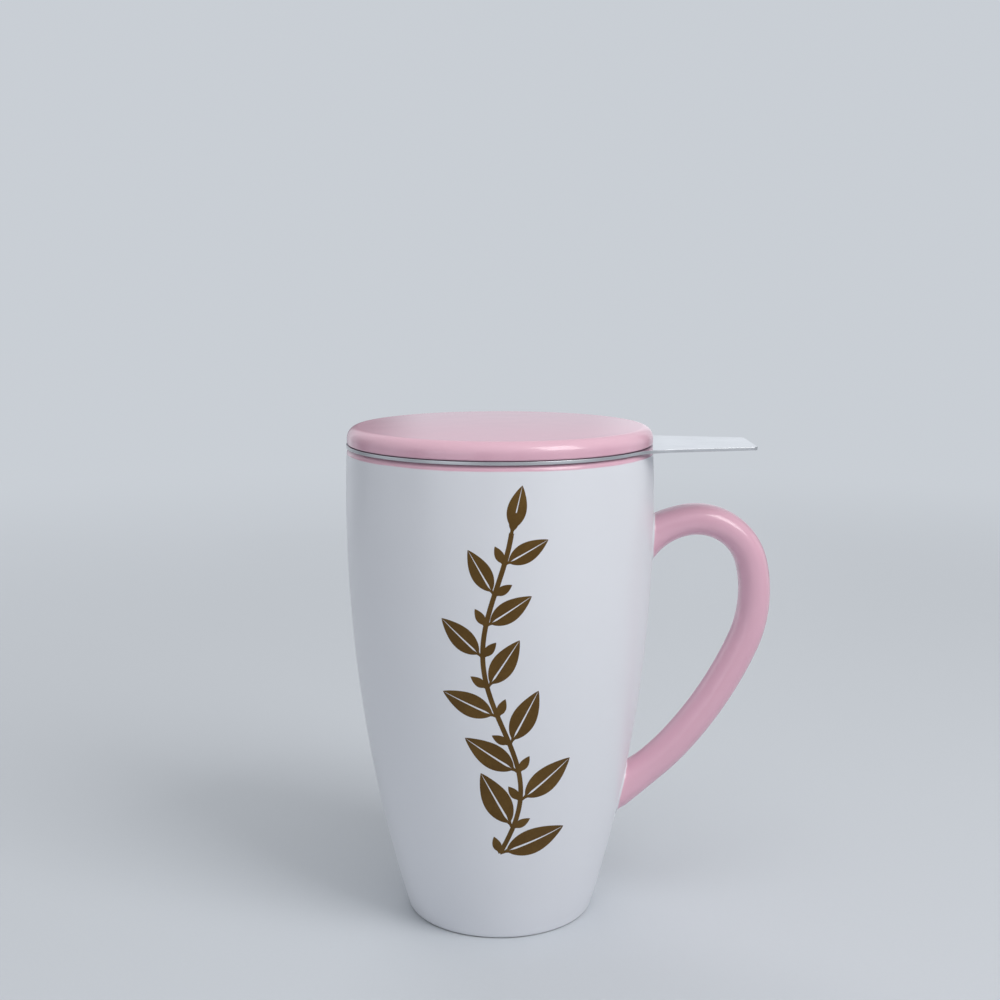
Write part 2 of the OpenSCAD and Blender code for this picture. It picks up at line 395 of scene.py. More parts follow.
def mugGlaze():
    material, tree, shader, spot = newMaterial("mugGlaze")
    x, y, z = splitXyz(tree, spot)
    wander = wanderingEdge(tree, spot, glaze["rimWaves"])
    pinkZ = plus(tree, wander, rimZ - mugLook["pinkDrop"])
    overRim = stretch(tree, minus(tree, z, pinkZ), -glaze["edgeBlur"], glaze["edgeBlur"])
    midWall = outsideWallNodes(tree, x, y, z, mug["wall"] / 2)
    inside = times(tree, calc(tree, "LESS_THAN", midWall, 0.0),
                   calc(tree, "GREATER_THAN", z, mug["floor"] * mugLook["floorShare"]))
    pinkShare = calc(tree, "MAXIMUM", overRim, inside)
    # The pink turns lighter over the top of the rim
    rimLighter = stretch(tree, z, rimZ - mugLook["lighterDrop"], rimZ)
    pink = lighterOver(tree, glazeColour(tree, spot, "pink"), rimLighter)
    # Painted bounce light: a stronger pink inside the mug, from just below the rim downwards
    under = stretch(tree, z, rimZ - mugLook["paintedBounceStart"], rimZ - mugLook["paintedBounceFull"])
    pink = blendColours(tree, times(tree, inside, under), pink, glaze["pinkPaintedBounce"])
    colour = blendColours(tree, pinkShare, glazeColour(tree, spot, "white"), pink)
    bare = stretch(tree, plus(tree, z, times(tree, wander, mugLook["bareWander"])),
                   mugLook["bareFoot"], mugLook["bareFull"])
    clay = blendColours(tree, noise(tree, spot, glaze["clayGrain"], 4.0),
                        glaze["biscuit"], glaze["biscuitDark"])
    feed(tree, shader.inputs["Base Color"], blendColours(tree, bare, colour, clay))
    gloss = stretch(tree, pinkShare, 0.0, 1.0, glaze["whiteGloss"], glaze["pinkGloss"])
    gloss = calc(tree, "MAXIMUM", gloss, times(tree, bare, glaze["matt"]))
    glazeSurface(tree, shader, spot, gloss)
    return material


# Where the handle leaves the wall its white turns to pink, between these distances from it
rootWhite = 0.2 * mm
rootPink = 0.65 * mm


def handleGlaze():
    material, tree, shader, spot = newMaterial("handleGlaze")
    x, y, z = splitXyz(tree, spot)
    wander = wanderingEdge(tree, spot, glaze["rootWaves"])
    share = stretch(tree, plus(tree, outsideWallNodes(tree, x, y, z), wander), rootWhite, rootPink)
    white, pink = glazeColour(tree, spot, "white"), glazeColour(tree, spot, "pink")
    feed(tree, shader.inputs["Base Color"], blendColours(tree, share, white, pink))
    glazeSurface(tree, shader, spot, glaze["pinkGloss"])
    return material


lidLook = {
    "lighterEdge": (3.4 * mm, 0.8 * mm),         # from the edge, where the lighter pink starts and is full
    "lighterTop": (5 * mm, 2.2 * mm),            # the same from the top
    "paintedBounceWide": (0.70, 0.66),                 # painted bounce light, a stronger pink in the recess, as shares of the radius
    "paintedBounceTop": (1 * mm, 2 * mm),              # the same from the top
}


def lidGlaze():
    material, tree, shader, spot = newMaterial("lidGlaze")
    x, y, z = splitXyz(tree, spot)
    axisGap = fromAxis(tree, x, y)
    # The pink turns lighter over the lid's top edge
    atEdge = stretch(tree, axisGap, *[lidR - inwards for inwards in lidLook["lighterEdge"]])
    onTop = stretch(tree, z, *[lidHigh.z - down for down in lidLook["lighterTop"]])
    pink = lighterOver(tree, glazeColour(tree, spot, "pink"), times(tree, atEdge, onTop))
    # Painted bounce light: a stronger pink in the recess under the lid
    paintedBounceShare = times(tree, stretch(tree, axisGap, *[lidR * share for share in lidLook["paintedBounceWide"]]),
                   stretch(tree, z, *[lidHigh.z - down for down in lidLook["paintedBounceTop"]]))
    feed(tree, shader.inputs["Base Color"], blendColours(tree, paintedBounceShare, pink, glaze["pinkPaintedBounce"]))
    glazeSurface(tree, shader, spot, glaze["pinkGloss"])
    return material


steel = {
    "bright": (0.62, 0.64, 0.66, 1),
    "dull": (0.53, 0.55, 0.57, 1),
    "inside": (0.26, 0.27, 0.285, 1),         # painted shade on the inner face of the basket
    "ground": (0.57, 0.58, 0.60, 1),          # ground edge of the plate
    "gloss": 0.055,
    "uneven": 0.08,                           # how much rougher the dull places are
    "insideRough": 0.2,                       # the same for inner faces and ground edges
    "groundRough": 0.3,
    "scratches": 2600.0,                      # noise scales, per metre
    "clouds": 70.0,
    "scratchDepth": 0.0012 * mm,
    "aroundScale": 0.0015,                    # draws the lines out round the axis
    "alongScale": 0.03,                       # and along X
    "toneBand": (0.35, 0.65),                 # part of the noise that runs from bright to dull
    "roughBand": (0.35, 0.7),
    "insideBand": (0.1 * mm, 0.3 * mm),       # depth in the sheet where the inner face's painted shade and roughness start
    "uprightBand": (0.75, 0.35),              # Z of the normal, from flat faces to upright ones
}


def polishedSteel(name, gloss, around, inwards=None, cutEdges=False):
    # around: the polishing lines run round the axis, otherwise along X
    # inwards: distance inside the basket's outer face, as nodes
    # cutEdges: upright faces are the ground edges of flat sheet
    material, tree, shader, spot = newMaterial(name)
    x, y, z = splitXyz(tree, spot)
    axisGap = fromAxis(tree, x, y)
    if around:
        turn = times(tree, calc(tree, "ARCTAN2", y, x), steel["aroundScale"])
        grain = joinXyz(tree, axisGap, turn, z)
    else:
        grain = joinXyz(tree, times(tree, x, steel["alongScale"]), y, z)
    lines = noise(tree, grain, steel["scratches"], 3.0, 0.65)
    clouds = noise(tree, spot, steel["clouds"], 3.0, 0.6)
    tone = plus(tree, times(tree, lines, 0.5), times(tree, clouds, 0.5))
    colour = blendColours(tree, stretch(tree, tone, *steel["toneBand"]), steel["bright"], steel["dull"])
    rough = stretch(tree, tone, *steel["roughBand"], gloss, gloss + steel["uneven"])
    if inwards:
        # Painted shade: the basket's inner face gets a dark steel colour, and more roughness for its
        # unpolished finish
        depth = stretch(tree, inwards(tree, axisGap, z), *steel["insideBand"])
        colour = blendColours(tree, depth, colour, steel["inside"])
        rough = calc(tree, "MULTIPLY_ADD", depth, steel["insideRough"], rough)
    if cutEdges:
        _, _, level = splitXyz(tree, nodeOut(tree, "ShaderNodeNewGeometry", output="Normal"))
        upright = stretch(tree, calc(tree, "ABSOLUTE", level), *steel["uprightBand"])
        colour = blendColours(tree, upright, colour, steel["ground"])
        rough = calc(tree, "MULTIPLY_ADD", upright, steel["groundRough"], rough)
    feed(tree, shader.inputs["Base Color"], colour)
    feed(tree, shader.inputs["Roughness"], rough)
    shader.inputs["Metallic"].default_value = 1.0
    bumpy(tree, shader, times(tree, lines, steel["scratchDepth"]))
    return material


ink = {
    "colour": (0.100, 0.050, 0.006, 1),
    "worn": (0.135, 0.072, 0.012, 1),
    "speckle": 1400.0,                        # noise scales, per metre
    "patches": 120.0,
    "speckleShare": 0.4,
    "wornBand": (0.4, 0.7),                   # part of the noise that runs from full to worn
    "roughBand": (0.3, 0.7),
    "rough": (0.40, 0.53),
    "speckleDepth": 0.004 * mm,
}


def printInk():
    material, tree, shader, spot = newMaterial("printInk")
    speckle = noise(tree, spot, ink["speckle"], 3.0, 0.7)
    patches = noise(tree, spot, ink["patches"])
    tone = plus(tree, times(tree, speckle, ink["speckleShare"]),
                times(tree, patches, 1 - ink["speckleShare"]))
    worn = stretch(tree, tone, *ink["wornBand"])
    feed(tree, shader.inputs["Base Color"], blendColours(tree, worn, ink["colour"], ink["worn"]))
    feed(tree, shader.inputs["Roughness"], stretch(tree, speckle, *ink["roughBand"], *ink["rough"]))
    shader.inputs["IOR"].default_value = 1.33
    bumpy(tree, shader, times(tree, speckle, ink["speckleDepth"]))
    return material


satin = {"ring": 0.24, "basket": 0.07, "disc": 0.08}      # how much rougher than the polished steel

mugGlazeMaterial = mugGlaze()
handleGlazeMaterial = handleGlaze()
lidGlazeMaterial = lidGlaze()
collarSteel = polishedSteel("drawnSteel", steel["gloss"], True)
plateSteel = polishedSteel("plateSteel", steel["gloss"], False, cutEdges=True)
ringSteel = polishedSteel("satinSteel", steel["gloss"] + satin["ring"], True)
inkMaterial = printInk()
print("materials ready")


# Turned pieces: an outline, closed or from axis to axis, spun round Z

outlineArc = {
    "step": 7.0,                # degrees
    "leastSteps": 4,
    "beside": 0.3,              # the stretch beside an arc, as a share of its radius
    "besideMost": 0.4,          # and at most this share of the straight that is left
}
weldGap = 0.002 * mm


def roundedOutline(corners):
    # Corners are (radius, height, rounding). A short stretch beside each arc keeps the shading flat
    n = len(corners)
    points = [Vector(corner[:2]) for corner in corners]
    back = [(points[i - 1] - points[i]).normalized() for i in range(n)]
    ahead = [(points[(i + 1) % n] - points[i]).normalized() for i in range(n)]
    half = [back[i].angle(ahead[i]) / 2 for i in range(n)]
    cut = [corners[i][2] / tan(half[i]) if corners[i][2] else 0.0 for i in range(n)]

    def beside(i, other):
        spare = (points[other] - points[i]).length - cut[other] - cut[i]
        return min(outlineArc["beside"] * corners[i][2], outlineArc["besideMost"] * spare)

    outline = []
    for i, (point, (_, _, rounding)) in enumerate(zip(points, corners)):
        if not rounding:
            outline.append(point)
            continue
        centre = point + (back[i] + ahead[i]).normalized() * rounding / sin(half[i])
        first = point + back[i] * cut[i]
        last = point + ahead[i] * cut[i]
        outline.append(first + back[i] * beside(i, i - 1))
        start = atan2(first.y - centre.y, first.x - centre.x)
        turn = atan2(last.y - centre.y, last.x - centre.x) - start
        turn = (turn + pi) % (2 * pi) - pi
        steps = max(outlineArc["leastSteps"], ceil(degrees(abs(turn)) / outlineArc["step"]))
        for k in range(steps + 1):
            a = start + turn * k / steps
            outline.append(centre + rounding * Vector((cos(a), sin(a))))
        outline.append(last + ahead[i] * beside(i, (i + 1) % n))
    return outline


def turningTree():
    tree, given = newTree("turning", {"Steps": "Int", "Weld": "Float", "Material": "Material"})
    outline = given["Geometry"]
    count = nodeOut(tree, "GeometryNodeAttributeDomainSize", {0: outline}, "Point Count")
    grid = nodeOut(tree, "GeometryNodeMeshGrid", {
        "Vertices X": plus(tree, given["Steps"], 1.0), "Vertices Y": count}, "Mesh")
    index = nodeOut(tree, "GeometryNodeInputIndex")
    column = calc(tree, "FLOOR", over(tree, plus(tree, index, 0.5), count))
    row = minus(tree, index, times(tree, column, count))
    spot = nodeOut(tree, "GeometryNodeSampleIndex", {
        "Geometry": outline, "Index": row, "Value": position(tree)}, data_type="FLOAT_VECTOR")
    x, _, z = splitXyz(tree, spot)
    angle = over(tree, times(tree, column, 2 * pi), given["Steps"])
    spun = moved(tree, grid, roundAxis(tree, x, angle, z))
    welded = nodeOut(tree, "GeometryNodeMergeByDistance", {
        "Geometry": spun, "Distance": given["Weld"]})
    return endTree(tree, welded, given)


turning = turningTree()


def turned(name, outline, steps, material, closed=False):
    points = [(max(point[0], 0.0), 0.0, point[1]) for point in outline]
    if closed:
        points.append(points[0])
    line = bpy.data.meshes.new(name)
    line.from_pydata(points, [(i, i + 1) for i in range(len(points) - 1)], [])
    piece = grow(name, line, turning, {"Steps": steps, "Weld": weldGap, "Material": material})
    faceOutwards(piece)
    return piece


# Mug body

def sidePoints(low, high, count, inset=0.0):
    heights = [low + (high - low) * i / count for i in range(count + 1)]
    return [(sideRadius(z, inset), z, 0) for z in heights]


def makeMug():
    footR = sideRadius(0)
    ringIn = footR - mug["footRing"]
    rimRound = (mug["wall"] - mug["rimLand"]) / 2
    sideTop = rimZ - mug["rimStraight"]
    outside = sidePoints(mug["footRound"] + mug["sideStart"], sideTop, mug["outsideRows"])
    inside = sidePoints(mug["floor"] + mug["floorRound"] + mug["sideStart"], sideTop,
                        mug["insideRows"], mug["wall"])
    corners = [
        (0, mug["footRecess"], 0),
        (ringIn - mug["recessSlant"], mug["footRecess"], mug["recessRound"]),
        (ringIn, 0, mug["ringRound"]),
        (footR, 0, mug["footRound"]),
        *outside,
        (sideRadius(rimZ), rimZ, rimRound),
        (sideRadius(rimZ, mug["wall"]), rimZ, rimRound),
        *reversed(inside),
        (sideRadius(mug["floor"], mug["wall"]), mug["floor"], mug["floorRound"]),
        (0, mug["floor"], 0),
    ]
    piece = turned("mugShell", roundedOutline(corners), mug["steps"], mugGlazeMaterial)
    place(piece, "mug", "mug_body")


makeMug()


# Handle: an oval swept along five arcs, with a small fillet of glaze at each root

handle = {
    "drop": 27 * mm,            # from the rim down to the centre line's start
    "startIn": 2.5 * mm,        # from the wall's face in to it
    "heading": 42,              # its way there, in degrees above level
    "arcs": ((25, -30), (16.3, -88), (37, -37.5), (110, -17.5), (73, -18)),  # radii in mm, degrees
    "thick": 8.7 * mm,
    "wide": 12.6 * mm,
    "fullness": 0.86,           # 1 gives an ellipse, less gives a fuller oval
    "rootGrowth": 0.22,
    "flare": 13 * mm,           # length over which each root grows
    "sink": 1 * mm,             # how deep the roots reach into the wall
    "lead": 6 * mm,             # straight ends of the centre line, which the wall's core cuts off
    "run": 18 * mm,
    "fillet": 0.9 * mm,
    "sides": 56,
    "step": 0.9 * mm,
    "rootStep": 0.2 * mm,
    "rootZone": 11 * mm,        # the rows lie closer this near to a root
    "coreFoot": -1 * mm,
    "coreRows": 48,
    "coreSteps": 160,
    "slivers": 0.01 * mm,       # edges this short, which the cut leaves, are closed up
}


def centreAt(length):
    # Place on the handle's centre line, at this length from its start, with the lead before 0
    z = rimZ - handle["drop"]
    x = sideRadius(z) - handle["startIn"]
    a = radians(handle["heading"])
    if length > 0:
        for radius, turn in handle["arcs"]:
            full = radius * mm * radians(abs(turn))
            part = min(length, full)
            b = a + radians(turn) * part / full
            x += radius * mm * (sin(a) - sin(b))
            z -= radius * mm * (cos(a) - cos(b))
            a = b
            length -= part
            if length <= 0:
                return x, 0.0, z
    return x + length * cos(a), 0.0, z + length * sin(a)


def loopTree():
    tree, given = newTree("handleLoop", {
        "Path": "Object", "Core": "Object", "Thickness": "Float", "Width": "Float",
        "Fullness": "Float", "Sides": "Int", "Fillet": "Float", "Material": "Material"})
    fillet = given["Fillet"]
    x, y, z = splitXyz(tree, position(tree))

    def fuller(value, size):
        grown = calc(tree, "POWER", calc(tree, "ABSOLUTE", value), given["Fullness"])
        return times(tree, times(tree, grown, calc(tree, "SIGN", value)), times(tree, size, 0.5))

    circle = nodeOut(tree, "GeometryNodeCurvePrimitiveCircle", {
        "Resolution": given["Sides"], "Radius": 1.0})
    oval = moved(tree, circle, joinXyz(
        tree, fuller(x, given["Width"]), fuller(y, given["Thickness"]), 0.0))
    swept = nodeOut(tree, "GeometryNodeCurveToMesh", {
        "Curve": shapeOf(tree, given["Path"]), "Profile Curve": oval,
        "Scale": nodeOut(tree, "GeometryNodeInputRadius"), "Fill Caps": True})

    # Near the wall the skin curves out along it, as a luted joint does
    gap = outsideWallNodes(tree, x, y, z)
    near = calc(tree, "MAXIMUM", calc(tree, "MINIMUM", gap, fillet), 0.0)
    rest = calc(tree, "POWER", minus(tree, fillet, near), 2.0)
    level = calc(tree, "MAXIMUM", minus(tree, calc(tree, "POWER", fillet, 2.0), rest), 0.0)
    push = minus(tree, fillet, calc(tree, "SQRT", level))
    wallWay = vecCalc(tree, "NORMALIZE", joinXyz(tree, x, y, 0.0))
    skinWay = nodeOut(tree, "GeometryNodeInputNormal", output="Normal")
    along = vecCalc(tree, "SCALE", wallWay, vecCalc(tree, "DOT_PRODUCT", skinWay, wallWay))
    sideways = vecCalc(tree, "NORMALIZE", vecCalc(tree, "SUBTRACT", skinWay, along))
    filleted = nodeOut(tree, "GeometryNodeSetPosition", {
        "Geometry": swept, "Offset": vecCalc(tree, "SCALE", sideways, push)})
    trimmed = nodeOut(tree, "GeometryNodeMeshBoolean", {
        "Mesh 1": filleted, "Mesh 2": shapeOf(tree, given["Core"])},
        operation="DIFFERENCE", solver="EXACT")
    return endTree(tree, trimmed, given)


def makeHandle():
    total = sum(radius * mm * radians(abs(turn)) for radius, turn in handle["arcs"])
    lengths = [-handle["lead"]]
    while lengths[-1] < total + handle["run"]:
        ends = min(abs(lengths[-1]), abs(total - lengths[-1]))
        lengths.append(lengths[-1] + handle["rootStep" if ends < handle["rootZone"] else "step"])
    radii = []
    for length in lengths:
        fromRoot = max(0.0, min(length, total - length))
        radii.append(1 + handle["rootGrowth"] * max(0.0, 1 - fromRoot / handle["flare"]) ** 2)
    path = lineObject("handlePath", [centreAt(length) for length in lengths], radii)
    coreSide = sidePoints(handle["coreFoot"], rimZ, handle["coreRows"], handle["sink"])
    coreOutline = [(0, handle["coreFoot"]), *[(r, z) for r, z, _ in coreSide], (0, rimZ)]
    core = turned("handleCore", coreOutline, handle["coreSteps"], handleGlazeMaterial)
    piece = grow("mugHandle", bpy.data.meshes.new("mugHandle"), loopTree(), {
        "Path": path, "Core": core, "Thickness": handle["thick"], "Width": handle["wide"],
        "Fullness": handle["fullness"], "Sides": handle["sides"], "Fillet": handle["fillet"],
        "Material": handleGlazeMaterial})
    removeHelpers(path, core)
    faceOutwards(piece, handle["slivers"])
    place(piece, "mug", "mug_handle")


makeHandle()


# Radii that follow from the mug's mouth

fits = {
    "sheet": 0.45 * mm,
    "collarGap": 4.9 * mm,
    "mouthBend": 1.8 * mm,
    "lidRingGap": 0.5 * mm,
    "weld": 0.05 * mm,
}
mouthR = sideRadius(rimZ, mug["wall"])
collarOut = mouthR - fits["collarGap"]
collarIn = collarOut - fits["sheet"]
plateHole = collarIn + fits["mouthBend"]
lidRingOut = collarIn - fits["lidRingGap"]


# Lid

lid = {
    "edge": 4.8 * mm,
    "round": 3.2 * mm,
    "dome": 1 * mm,
    "underRound": 0.5 * mm,
    "ringDeep": 3.6 * mm,
    "ringWide": 3.4 * mm,
    "ringRound": 1.3 * mm,
    "ringDraft": 0.6 * mm,
    "roof": 1.2 * mm,
    "roofRound": 2.6 * mm,
    "roofRise": 0.6 * mm,
    "domeRings": 14,
    "steps": 224,
}


def makeLid():
    topZ = lidHigh.z - lid["dome"]
    under = topZ - lid["edge"]
    topR = lidR - lid["round"] - lid["underRound"]
    ringIn = lidRingOut - lid["ringWide"]
    shares = [i / lid["domeRings"] for i in range(lid["domeRings"] + 1)]
    corners = [
        *[(topR * share, topZ + lid["dome"] * (1 - share ** 2), 0) for share in shares],
        (lidR, topZ, lid["round"]),
        (lidR, under, lid["underRound"]),
        (lidRingOut, under, fits["mouthBend"]),
        (lidRingOut, under - lid["ringDeep"], lid["ringRound"]),
        (ringIn, under - lid["ringDeep"], lid["ringRound"]),
        (ringIn - lid["ringDraft"], under + lid["roof"], lid["roofRound"]),
        (0, under + lid["roof"] + lid["roofRise"], 0),
    ]
    piece = turned("lidDisc", roundedOutline(corners), lid["steps"], lidGlazeMaterial)
    place(piece, "lid", "lid")


makeLid()


# Rim plate: a flat ring with a finger tab, its cut edges broken by polishing

plate = {
    "tabTip": 23 * mm,
    "tabSlant": 12,             # degrees
    "tabHollow": 20 * mm,
    "tabCorner": 1.6 * mm,
    "edge": 0.11 * mm,          # rounding of the cut edges
    "edgeLand": 2.5,            # where the first ring of faces beside it ends, in its radii
    "edgeSteps": 4,
    "arcStep": 2.0,             # degrees, as the next two
    "cornerStep": 6,
    "hollowStep": 2.5,
}


def arcPoints(centre, radius, start, end, step):
    steps = max(2, ceil(abs(end - start) / step))
    turns = [radians(start + (end - start) * i / steps) for i in range(steps + 1)]
    return [centre + radius * Vector((cos(a), sin(a))) for a in turns]


def circlePoints(radius, step):
    return arcPoints(Vector((0, 0)), radius, 0, 360, step)[:-1]


def plateOutline():
    slant = radians(plate["tabSlant"])
    tip = Vector((plateHigh.x, plate["tabTip"] / 2))
    side = Vector((-cos(slant), sin(slant)))
    outward = Vector((sin(slant), cos(slant)))
    base = tip + plate["tabHollow"] * outward
    reach = plateR + plate["tabHollow"]
    alongSide = -base.dot(side) - sqrt(base.dot(side) ** 2 - base.length_squared + reach ** 2)
    hollow = base + alongSide * side            # centre of the hollow curve
    discAngle = degrees(atan2(hollow.y, hollow.x))
    cornerReach = plate["tabCorner"] / tan(radians(90 + plate["tabSlant"]) / 2)
    cornerCentre = tip - Vector((plate["tabCorner"], cornerReach))
    upper = arcPoints(cornerCentre, plate["tabCorner"], 0, 90 - plate["tabSlant"],
                      plate["cornerStep"])
    upper += arcPoints(hollow, plate["tabHollow"], -90 - plate["tabSlant"], discAngle - 180,
                       plate["hollowStep"])
    lower = [Vector((point.x, -point.y)) for point in reversed(upper)]
    disc = arcPoints(Vector((0, 0)), plateR, discAngle, 360 - discAngle, plate["arcStep"])
    return upper + disc[1:-1] + lower


def edgeRings(shell, outline, inwards):
    # Rings of vertices over a rounded cut edge, from the top face to the bottom one
    top, bottom, edge = plateHigh.z, plateLow.z, plate["edge"]
    profile = [(plate["edgeLand"] * edge, top)]
    for i in range(plate["edgeSteps"] + 1):
        a = pi / 2 * i / plate["edgeSteps"]
        profile.append((edge * (1 - sin(a)), top - edge * (1 - cos(a))))
    profile += [(offset, top + bottom - z) for offset, z in reversed(profile)]
    n = len(outline)
    ways = []
    for i in range(n):
        run = (outline[(i + 1) % n] - outline[i - 1]).normalized()
        ways.append(Vector((-run.y, run.x)) * inwards)
    rings = [[shell.verts.new((*(outline[i] + ways[i] * offset), z)) for i in range(n)]
             for offset, z in profile]
    for upper, lower in zip(rings, rings[1:]):
        for i in range(n):
            shell.faces.new((upper[i], lower[i], lower[(i + 1) % n], upper[(i + 1) % n]))
    return rings[0], rings[-1]


def ringEdges(shell, ring):
    return [shell.edges.get((ring[i], ring[(i + 1) % len(ring)])) for i in range(len(ring))]


def makePlate():
    shell = bmesh.new()
    outside = edgeRings(shell, plateOutline(), 1)
    hole = edgeRings(shell, circlePoints(plateHole, plate["arcStep"]), -1)
    for outer, inner in zip(outside, hole):
        edges = ringEdges(shell, outer) + ringEdges(shell, inner)
        bmesh.ops.triangle_fill(shell, use_beauty=True, edges=edges)
    for face in shell.faces:
        face.smooth = True
    sheet = bpy.data.meshes.new("plateSheet")
    saveShell(shell, sheet)
    sheet.materials.append(plateSteel)
    place(addObject("plateSheet", sheet), "infuser", "rim_plate")


makePlate()


# Basket: radius of the strainer at any height

basket = {
    "shoulderWide": 5.6 * mm,
    "taper": 2.7 * mm,
    "neckDeep": 4.5 * mm,
    "shoulderHigh": 4.5 * mm,
    "shoulderRound": 1.5 * mm,
    "shoulderInside": 1.2 * mm,     # roundings of the sheet's inner face
    "neckRound": 0.6 * mm,
    "neckInside": 1.4 * mm,
    "cutEdge": 0.08 * mm,
    "lap": 2.2 * mm,
    "steps": 210,
}
basketZ = ringLow.z
neckZ = collarLow.z + basket["neckDeep"]
shoulderZ = neckZ + basket["shoulderHigh"]
strainerTop = collarOut - basket["shoulderWide"]
strainerFoot = strainerTop - basket["taper"]


def strainerRadius(z):
    return strainerFoot + (strainerTop - strainerFoot) * (z - basketZ) / (neckZ - basketZ)


def insideStrainer(tree, axisGap, z):
    rise = over(tree, minus(tree, z, basketZ), neckZ - basketZ)
    outer = calc(tree, "MULTIPLY_ADD", rise, strainerTop - strainerFoot, strainerFoot)
    return minus(tree, outer, axisGap)


basketSteel = polishedSteel("basketSteel", steel["gloss"] + satin["basket"], True, insideStrainer)
discSteel = polishedSteel("discSteel", steel["gloss"] + satin["disc"], False)


def makeCollar():
    sheet = fits["sheet"]
    lapR = plateHole + basket["lap"]
    neckTop = strainerRadius(neckZ) - sheet - fits["weld"]
    neckFoot = strainerRadius(collarLow.z) - sheet - fits["weld"]
    slope = atan2(basket["shoulderHigh"], collarOut - neckTop)
    drop = sheet * tan(radians(45) - slope / 2)      # keeps the sheet's thickness round the corners
    corners = [
        (lapR, collarHigh.z, 0),
        (collarIn, collarHigh.z, fits["mouthBend"]),
        (collarIn, shoulderZ + drop, basket["shoulderInside"]),
        (neckTop - sheet, neckZ + drop, basket["neckInside"]),
        (neckFoot - sheet, collarLow.z, basket["cutEdge"]),
        (neckFoot, collarLow.z, basket["cutEdge"]),
        (neckTop, neckZ, basket["neckRound"]),
        (collarOut, shoulderZ, basket["shoulderRound"]),
        (collarOut, collarHigh.z - sheet, fits["mouthBend"] - sheet),
        (lapR, collarHigh.z - sheet, basket["cutEdge"]),
    ]
    piece = turned("collarSheet", roundedOutline(corners), basket["steps"], collarSteel, closed=True)
    place(piece, "infuser", "collar")


makeCollar()


# Base ring: a plain band rolled in under the basket

baseRing = {"round": 2 * mm, "ledge": 1.4 * mm, "lip": 0.1 * mm}


def makeBaseRing():
    sheet = fits["sheet"]
    inner = strainerRadius(ringHigh.z) + fits["weld"]
    outer = inner + sheet
    ledgeIn = outer - baseRing["round"] - baseRing["ledge"]
    corners = [
        (outer, ringHigh.z, baseRing["lip"]),
        (outer, basketZ, baseRing["round"]),
        (ledgeIn, basketZ, baseRing["lip"]),
        (ledgeIn, basketZ + sheet, baseRing["lip"]),
        (inner, basketZ + sheet, baseRing["round"] - sheet),
        (inner, ringHigh.z, baseRing["lip"]),
    ]
    piece = turned("baseRing", roundedOutline(corners), basket["steps"], ringSteel, closed=True)
    place(piece, "infuser", "base_ring")


makeBaseRing()


# Perforations: one square tile of sheet with a hole, laid out in rows and columns

holes = {
    "columns": 210,             # holes round the strainer
    "rows": 68,
    "panels": 3,
    "holeShare": 0.56,          # hole width as a share of the pitch
    "topPlain": 4.6 * mm,       # plain band under the collar's slope
    "footPlain": 1.7 * mm,      # how far the holes run on down behind the base ring
    "discPitch": 0.84 * mm,
    "discPlain": 1.7 * mm,      # plain edge of the bottom disc
    "discSpare": 0.7,           # tiles whose middle is nearer to that edge are left out, in pitches
    "discStep": 3,              # degrees
    "tileWeld": 0.001,          # in tiles
    "sameLevel": 0.01 * mm,     # edges this near to a face of the disc belong to it
}


def holeTile():
    # Corners of the square, then the eight corners of the hole, outside at depth 0 and inside at 1
    sides = 8
    radius = holes["holeShare"] / 2
    turns = [radians(360 / sides * (i + 0.5)) for i in range(sides)]
    spots = [(-0.5, -0.5), (0.5, -0.5), (0.5, 0.5), (-0.5, 0.5)]
    spots += [(radius * cos(a), radius * sin(a)) for a in turns]
    points = [(x, y, depth) for depth in (0, 1) for x, y in spots]
    n = len(spots)
    flat = []
    for corner in range(4):
        # Corners of the hole, from just before this corner of the square to just before the next
        first, second, third = [4 + (4 + 2 * corner + k) % sides for k in range(3)]
        flat.append((corner, first, second))
        flat.append((corner, second, third, (corner + 1) % 4))
    faces = flat + [tuple(n + k for k in reversed(face)) for face in flat]
    for i in range(sides):
        a, b = 4 + i, 4 + (i + 1) % sides
        faces.append((a, b, n + b, n + a))
    tile = bpy.data.meshes.new("holeTile")
    tile.from_pydata(points, [], faces)
    return tile


def tileField(tree, tile, columns, rows, selection=True):
    # Tiles welded into one sheet, whose middle is at 0, 0
    grid = nodeOut(tree, "GeometryNodeMeshGrid", {
        "Size X": minus(tree, columns, 1.0), "Size Y": minus(tree, rows, 1.0),
        "Vertices X": columns, "Vertices Y": rows}, "Mesh")
    laid = nodeOut(tree, "GeometryNodeInstanceOnPoints", {
        "Points": grid, "Instance": tile, "Selection": selection})
    real = nodeOut(tree, "GeometryNodeRealizeInstances", {"Geometry": laid})
    return nodeOut(tree, "GeometryNodeMergeByDistance", {
        "Geometry": real, "Distance": holes["tileWeld"]})


def strainerTree():
    tree, given = newTree("strainerHoles", {
        "Columns": "Int", "Rows": "Int", "Columns Around": "Int", "First Column": "Int",
        "Foot Radius": "Float", "Top Radius": "Float", "Foot Height": "Float",
        "Top Height": "Float", "Sheet": "Float", "Material": "Material"})
    sheet = tileField(tree, given["Geometry"], given["Columns"], given["Rows"])
    x, y, depth = splitXyz(tree, position(tree))
    column = plus(tree, plus(tree, x, given["First Column"]), over(tree, given["Columns"], 2.0))
    angle = over(tree, times(tree, column, 2 * pi), given["Columns Around"])
    rise = plus(tree, over(tree, y, given["Rows"]), 0.5)

    def between(what):
        foot, top = given["Foot " + what], given["Top " + what]
        return calc(tree, "MULTIPLY_ADD", rise, minus(tree, top, foot), foot)

    radius = minus(tree, between("Radius"), times(tree, depth, given["Sheet"]))
    rolled = moved(tree, sheet, roundAxis(tree, radius, angle, between("Height")))
    return endTree(tree, rolled, given)


def borderEdges(shell):
    return [edge for edge in shell.edges if edge.is_boundary]


def closeRim(piece):
    # Joins the sheet's outer and inner faces along its open border
    shell = openShell(piece)
    bmesh.ops.bridge_loops(shell, edges=borderEdges(shell))
    saveShell(shell, piece.data, crisp=True)


